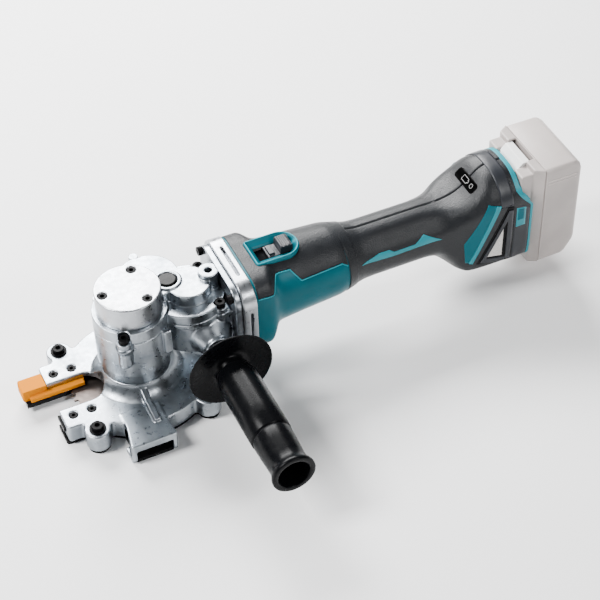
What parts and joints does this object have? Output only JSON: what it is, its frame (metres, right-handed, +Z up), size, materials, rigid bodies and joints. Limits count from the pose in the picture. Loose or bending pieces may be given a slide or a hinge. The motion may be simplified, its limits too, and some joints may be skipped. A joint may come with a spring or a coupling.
{
  "type": "cordless rod cutter",
  "caption": "Cordless flush cutter for steel rod: saw blade under a cast notched cover, upright gear housing, straight grip, side handle and slide-on battery.",
  "frame": {"origin": "on the saw blade's axis, at the underside of the blade cover that rests on the work surface", "axes": "+X back along the tool towards the battery, -Y towards the side handle, +Z up along the blade axis"},
  "size_m": [0.5326, 0.2688, 0.1334],
  "materials": {
    "cast_aluminium": "fine cast, satin",
    "machined_aluminium": "machined, satin",
    "black_steel": "black oxide",
    "steel": "ground",
    "blade_steel": "dark coated",
    "guide_orange": "semi-gloss",
    "housing_teal": "moulded, fine grain",
    "accent_teal": "moulded, light",
    "grip_rubber": "stippled soft rubber",
    "black_rubber": "smooth rubber",
    "black_plastic": "gloss",
    "dark_plastic": "fine grain",
    "window_black": "gloss",
    "filter_mesh": "fine woven mesh",
    "battery_grey": "pale, fine grain",
    "battery_white": "smooth",
    "cell_wrap": "shrink wrap",
    "copper": "tinned contact",
    "board_green": "solder mask",
    "stator_iron": "laminated"
  },
  "bodies": {
    "tool_body": {"blade_cover_upper": "cast_aluminium", "blade_cover_lower": "black_steel", "gear_housing": "cast_aluminium", "gear_housing_cover": "cast_aluminium", "spindle_cap": "machined_aluminium", "spindle_cap_screws": "black_steel", "gear_cover_screws": "black_steel", "blade_cover_screws": "black_steel", "guide_block": "guide_orange", "guide_backing_plate": "black_steel", "rod_rest": "black_steel", "guide_screws": "black_steel", "rubber_plug": "black_rubber", "adapter_flange": "machined_aluminium", "adapter_screws": "black_steel", "motor_housing": "housing_teal", "motor_housing_overmold": "grip_rubber", "switch_bezel": "accent_teal", "switch_unit": "dark_plastic", "motor_stator": "stator_iron", "handle_shell_left": "grip_rubber", "handle_shell_right": "grip_rubber", "handle_screws": "black_steel", "accent_stripes": "accent_teal", "side_wedges": "housing_teal", "vent_frames": "dark_plastic", "vent_filters": "filter_mesh", "battery_rim": "accent_teal", "indicator_window": "window_black", "controller_board": "board_green", "terminal_block": "copper", "side_handle_bolt": "steel", "side_handle_guard": "black_plastic", "side_handle_grip": "black_plastic", "spindle_bearings": "steel", "gear_shaft_bearings": "steel", "rotor_bearings": "steel", "spindle_seal": "black_rubber"},
    "blade_spindle": {"spindle_gear": "steel", "spindle_shaft": "steel", "blade_inner_flange": "steel", "blade_outer_flange": "steel", "blade_bolt": "black_steel", "saw_blade": "blade_steel"},
    "idler": {"idler_pinion_shaft": "steel", "idler_gear": "steel"},
    "layshaft_group": {"layshaft": "steel", "bevel_gear": "steel"},
    "rotor": {"bevel_pinion": "steel", "rotor_shaft": "steel", "rotor_core": "stator_iron", "cooling_fan": "dark_plastic"},
    "switch": {"switch_slider": "dark_plastic", "switch_link": "steel"},
    "battery": {"battery_case": "battery_grey", "battery_cover": "battery_grey", "battery_cells": "cell_wrap", "battery_terminals": "copper"},
    "battery_release": {"battery_latch": "battery_white"}
  },
  "joints": [
    {"name": "blade_spin", "type": "hinge", "parent": "tool_body", "child": "blade_spindle", "pos_m": [0, 0, 0.05], "axis": [0, 0, 1], "continuous": true},
    {"name": "idler_spin", "type": "hinge", "parent": "tool_body", "child": "idler", "pos_m": [0.0254, 0.02028, 0.065], "axis": [0, 0, 1], "continuous": true},
    {"name": "layshaft_spin", "type": "hinge", "parent": "tool_body", "child": "layshaft_group", "pos_m": [0.04818, 0, 0.065], "axis": [0, 0, 1], "continuous": true},
    {"name": "rotor_spin", "type": "hinge", "parent": "tool_body", "child": "rotor", "pos_m": [0.15, 0, 0.0775], "axis": [1, 0, 0], "continuous": true},
    {"name": "switch_slide", "type": "slide", "parent": "tool_body", "child": "switch", "axis": [-1, 0, 0], "range_m": [0, 0.007], "stiffness_N_per_m": 400},
    {"name": "battery_slide", "type": "slide", "parent": "tool_body", "child": "battery", "axis": [0, 0, 1], "range_m": [0, 0.12]},
    {"name": "release_press", "type": "slide", "parent": "battery", "child": "battery_release", "axis": [1, 0, 0], "range_m": [0, 0.004], "stiffness_N_per_m": 600}
  ],
  "couplings": [
    {"joint": "idler_spin", "follows": "blade_spin", "ratio": -2.8235},
    {"joint": "layshaft_spin", "follows": "blade_spin", "ratio": 8.6588},
    {"joint": "rotor_spin", "follows": "blade_spin", "ratio": 25.976}
  ]
}
